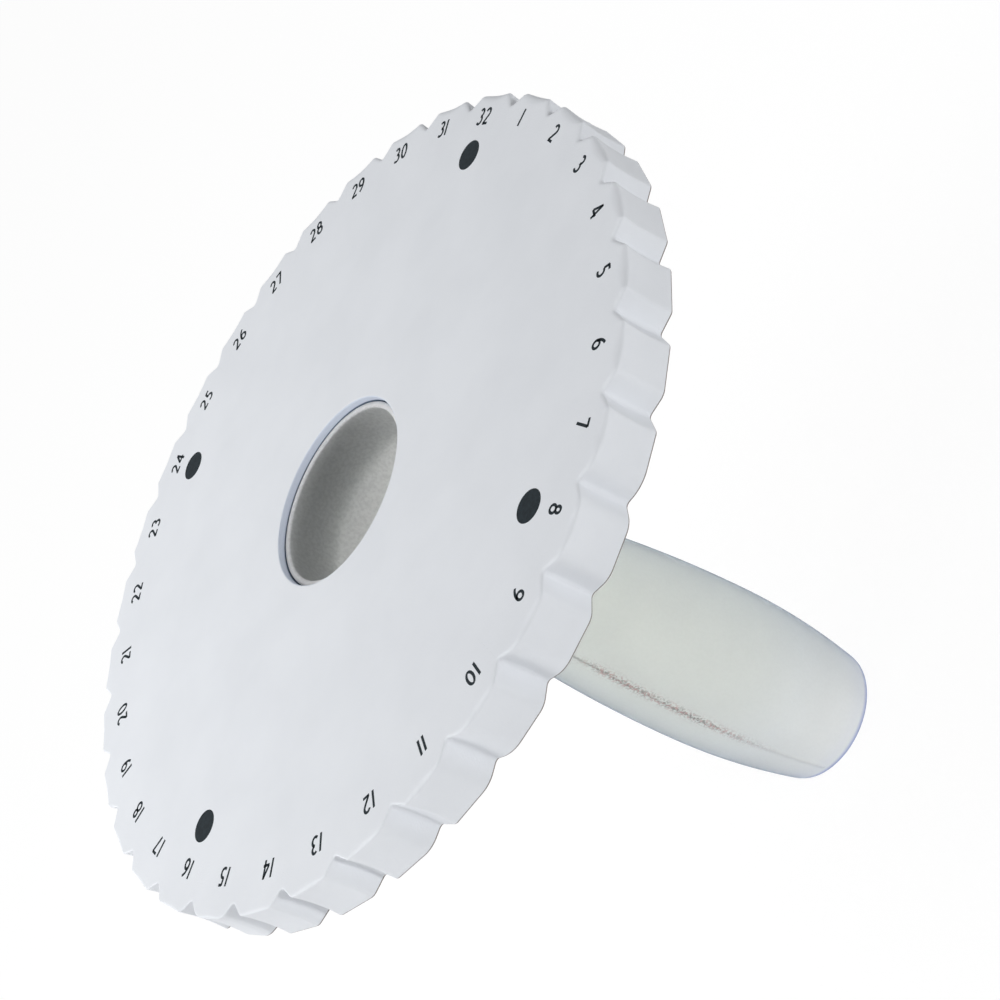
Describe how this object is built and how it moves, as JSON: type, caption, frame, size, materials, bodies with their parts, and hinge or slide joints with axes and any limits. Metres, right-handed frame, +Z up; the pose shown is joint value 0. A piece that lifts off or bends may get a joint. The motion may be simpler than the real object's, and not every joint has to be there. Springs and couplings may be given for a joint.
{
  "type": "kumihimo disk with handle",
  "caption": "Round foam braiding disk with a notched and slit rim, turning on a hollow contoured plastic handle that lets the finished braid hang down through it.",
  "frame": {"origin": "centre of the handle's foot, on the handle's axis, where the object stands upright", "axes": "+Z up the handle's axis to the braiding face, +Y to the tooth that carries the highest number, +X to the tooth a quarter turn clockwise from it, seen from above"},
  "size_m": [0.1524, 0.1524, 0.1163],
  "materials": {
    "foam": "matte",
    "frosted_plastic": "satin",
    "print_ink": "matte"
  },
  "bodies": {
    "handle": {"handle": "frosted_plastic"},
    "disk": {"foam_disk": "foam"}
  },
  "joints": [
    {"name": "disk_turn", "type": "hinge", "parent": "handle", "child": "disk", "pos_m": [0, 0, 0.1113], "axis": [0, 0, 1], "continuous": true}
  ]
}
